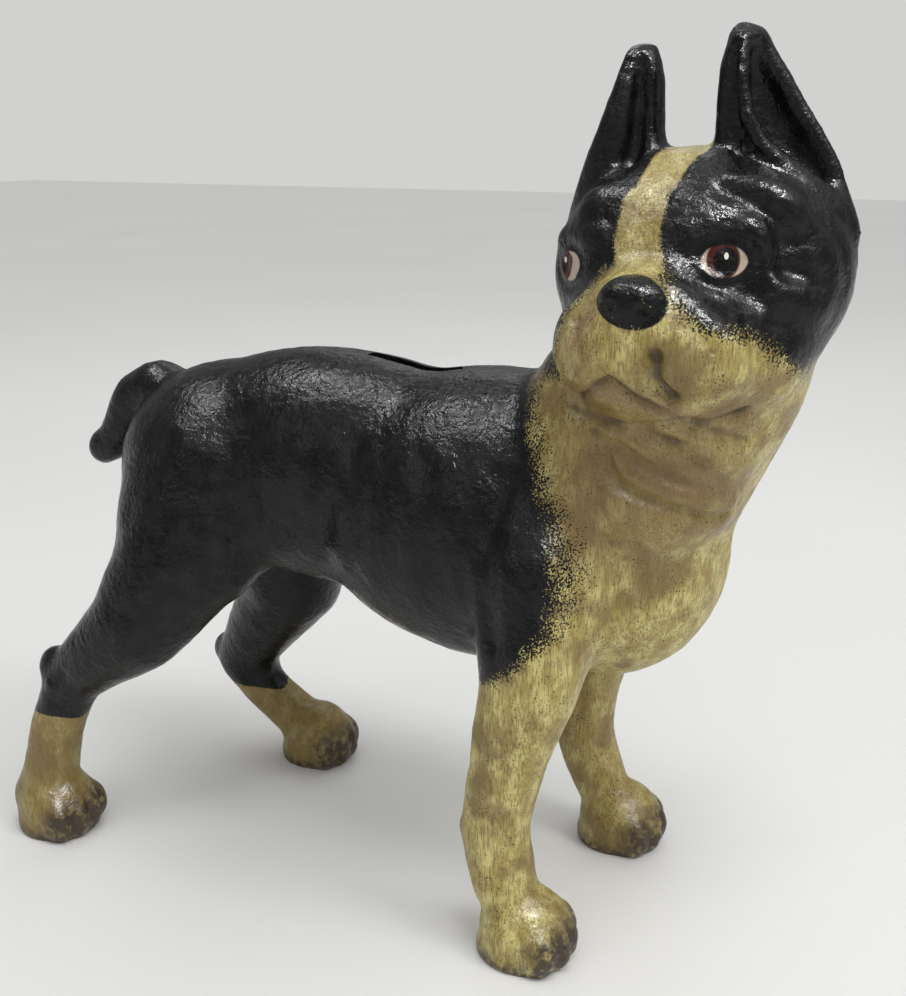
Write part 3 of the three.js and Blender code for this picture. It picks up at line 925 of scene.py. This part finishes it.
black = paint.mix(paint.step(paint.noise(5, 5), 0.35, 0.7), BLACK, BLACK_WORN)
cream = paint.mix(paint.step(paint.noise(5, 7, stretch=(0.8, 0.8, 1.5)), 0.38, 0.66), CREAM, CREAM_PALE)
cream = paint.mix(paint.step(paint.noise(13, 8, shift=(8, 5, 5)), 0.47, 0.64, 0, 0.75), cream, CREAM_DULL)
streaks = paint.noise(0.6, 5, stretch=(0.8, 0.8, 6), shift=(5, 5, 5))
cream = paint.mix(paint.step(streaks, 0.44, 0.66, 0, 0.7), cream, CREAM_DULL)
# painted shade with dirt: the throat, the hind legs and the far fore leg dulled towards brown
cream = paint.mix(paint.attribute("darkening"), cream, CREAM_DULL)
# the mouth's flesh tint, and painted shade at the throat, the snout's side and the folds
cream = paint.mix(paint.math("MULTIPLY", paint.attribute("flesh_and_shade"), 0.8), cream, FLESH_AND_SHADE)
worn = paint.step(paint.noise(10, 4, shift=(2, 7, 1)), 0.42, 0.66)
specks = paint.step(paint.noise(0.5, 3, shift=(1, 9, 4)), 0.55, 0.70)
toe_patches = paint.step(paint.noise(2.4, 6, shift=(4, 4, 0)), 0.3, 0.6, 0.25, 1.5)
toe_grime = paint.math("MULTIPLY", paint.attribute("toes"), toe_patches)
speck_share = paint.math("ADD", paint.math("MULTIPLY", worn, 0.7), 0.1)
# painted shade: the hollows darkened towards brown, with random dirt specks and the toes' grime added
dirt_and_shade = paint.math("ADD", paint.step(hollow, 0.54, 0.98, 0, 0.75),
                  paint.math("MULTIPLY", specks, speck_share))
dirt_and_shade = paint.math("ADD", dirt_and_shade, toe_grime, clamp=True)
cream = paint.mix(dirt_and_shade, cream, GRIME_AND_SHADE)
colour = paint.mix(is_cream, black, cream)
nose_chip = paint.step(paint.noise(0.8, 2, shift=(0, 2, 8)), 0.68, 0.73)
is_nose = paint.math("MULTIPLY", paint.attribute("nose"), paint.math("SUBTRACT", 1, nose_chip))
is_nose = paint.step(is_nose, 0.4, 0.6)
colour = paint.mix(is_nose, colour, BLACK)
gloss = paint.math("MULTIPLY", is_cream, paint.math("SUBTRACT", 1, is_nose))

for centre, across, iris, pupil in (
    (LEFT_EYE, (0.944, 0.33, 0), (-0.2, 0.3, 3.7), (0.3, -0.1, 2.75)),
    (RIGHT_EYE, (-0.69, 0.72, 0), (2.6, 0.1, 3.4), (3.0, -0.2, 1.4)),
):
    away = Vector(across).cross(Vector((0, 0, 1)))
    u = paint.along(centre, across)
    v = paint.along(centre, (0, 0, 1))
    near = paint.step(paint.math("ABSOLUTE", paint.along(centre, away)), 9, 8)
    opening = paint.math("MULTIPLY", near, paint.oval(u, v, (0, 0), 5.2, 3.5, 2.4, 1.6))
    rim = paint.math("MULTIPLY", near, paint.oval(u, v, (0, 0), 6.6, 4.9, 2.2, 1.8, 0.3))
    ball_colour = paint.mix(paint.oval(u, v, iris[:2], iris[2], iris[2] * 1.15), EYE_WHITE, EYE_BROWN)
    ball_colour = paint.mix(paint.oval(u, v, pupil[:2], pupil[2], pupil[2] * 1.15), ball_colour,
                            (0.004, 0.003, 0.003))
    # a painted highlight on each eye, above the pupil
    ball_colour = paint.mix(paint.oval(u, v, (pupil[0] + 0.1, 1.2), 0.5, 0.75), ball_colour,
                            (0.85, 0.8, 0.72))
    colour = paint.mix(rim, colour, BLACK)
    colour = paint.mix(opening, colour, ball_colour)
    gloss = paint.math("MULTIPLY", gloss, paint.math("SUBTRACT", 1, rim))

paint.put(paint.shader.inputs["Base Color"], colour)
rough_black = paint.step(paint.noise(4, 5, shift=(2, 2, 2)), 0.3, 0.7, 0.15, 0.34)
rough_cream = paint.step(paint.noise(3, 5, shift=(6, 2, 2)), 0.3, 0.7, 0.27, 0.52)
rough = paint.nodes.new("ShaderNodeMix")
paint.put(rough.inputs["Factor"], gloss)
paint.put(rough.inputs["A"], rough_black)
paint.put(rough.inputs["B"], rough_cream)
paint.put(paint.shader.inputs["Roughness"], rough.outputs["Result"])
paint.put(paint.shader.inputs["Specular IOR Level"], paint.step(gloss, 0, 1, 0.24, 0.5))
grain = paint.bump(paint.noise(1.8, 3), 0.38, 1.0)
grain = paint.bump(paint.noise(0.6, 2), 0.11, 1.0, grain)
paint.put(paint.shader.inputs["Normal"], grain)

iron = Paint(raw_iron)
rust = iron.step(iron.noise(6, 5), 0.42, 0.62)
iron.put(iron.shader.inputs["Base Color"], iron.mix(rust, (0.035, 0.033, 0.032), (0.10, 0.045, 0.02)))
iron.put(iron.shader.inputs["Roughness"], iron.step(rust, 0, 1, 0.6, 0.85))
iron.put(iron.shader.inputs["Metallic"], 0.4)
iron.put(iron.shader.inputs["Normal"], iron.bump(iron.noise(1.6, 5), 0.6))

steel = Paint(screw_steel)
darkening = steel.step(steel.noise(1.6, 4), 0.45, 0.65)
steel.put(steel.shader.inputs["Base Color"], steel.mix(darkening, (0.42, 0.41, 0.39), (0.13, 0.085, 0.055)))
steel.put(steel.shader.inputs["Roughness"], steel.step(darkening, 0, 1, 0.32, 0.62))
steel.put(steel.shader.inputs["Metallic"], 0.9)
steel.put(steel.shader.inputs["Normal"], steel.bump(steel.noise(0.5, 3, stretch=(0.4, 3, 3)), 0.08))

# ---------------------------------------------------------------- camera, floor and lights
camera = bpy.data.objects.new("camera", bpy.data.cameras.new("camera"))
bpy.context.scene.collection.objects.link(camera)
camera.data.sensor_width = 36
camera.data.lens = 45.2
camera.location = at(181, -314.2, 223)
camera.rotation_euler = (math.radians(73.5), 0, math.radians(-64))
bpy.context.scene.camera = camera

world = bpy.data.worlds.new("studio")
world.use_nodes = True
world.node_tree.nodes["Background"].inputs["Color"].default_value = (0.80, 0.80, 0.79, 1)
seen = world.node_tree.nodes.new("ShaderNodeLightPath").outputs["Is Camera Ray"]
strength = world.node_tree.nodes.new("ShaderNodeMapRange")
world.node_tree.links.new(seen, strength.inputs["Value"])
strength.inputs["To Min"].default_value = 0.34
strength.inputs["To Max"].default_value = 0.80
world.node_tree.links.new(strength.outputs["Result"],
                          world.node_tree.nodes["Background"].inputs["Strength"])
bpy.context.scene.view_settings.view_transform = "Standard"
bpy.context.scene.world = world

bm = bmesh.new()
bmesh.ops.create_grid(bm, x_segments=1, y_segments=1, size=4)
floor = solid("floor", bm)
floor_paint = bpy.data.materials.new("floor")
floor_paint.use_nodes = True
sheet_paint = Paint(floor_paint)
pale = sheet_paint.mix(sheet_paint.noise(300, 2), (0.78, 0.78, 0.77), (0.84, 0.84, 0.83))
sheet_paint.put(sheet_paint.shader.inputs["Base Color"], pale)
sheet_paint.put(sheet_paint.shader.inputs["Roughness"], 0.6)
floor.data.materials.append(floor_paint)


def area_light(name, place, size, power, shine_only=False):
    """A soft box aimed at the middle of the dog; one that is for shine alone adds no light of its own."""
    lamp = bpy.data.lights.new(name, "AREA")
    lamp.size = size
    lamp.energy = power
    made = bpy.data.objects.new(name, lamp)
    made.location = place
    made.rotation_euler = (Vector(place) - Vector((0, 0, 0.13))).to_track_quat("Z", "Y").to_euler()
    made.visible_diffuse = not shine_only
    bpy.context.scene.collection.objects.link(made)


# name, place in metres, size in metres, power, and whether it is for shine alone
area_light("key", (-0.15, -0.8, 1.0), 0.36, 3.4)
area_light("top", (-0.32, -0.25, 1.15), 0.26, 2.0)
area_light("side", (-1.0, 0.55, 0.7), 0.25, 0.6)
area_light("back", (0.8, 0.3, 0.8), 0.5, 0.9)
area_light("shine", (-0.42, -0.42, 1.15), 0.3, 26, True)
area_light("back_shine", (-0.1, 0.5, 1.15), 0.3, 6, True)
sky = bpy.data.objects.new("even", bpy.data.lights.new("even", "SUN"))
sky.data.energy = 1.5
sky.data.angle = math.radians(110)
sky.rotation_euler = (math.radians(20), math.radians(-12), 0)
bpy.context.scene.collection.objects.link(sky)
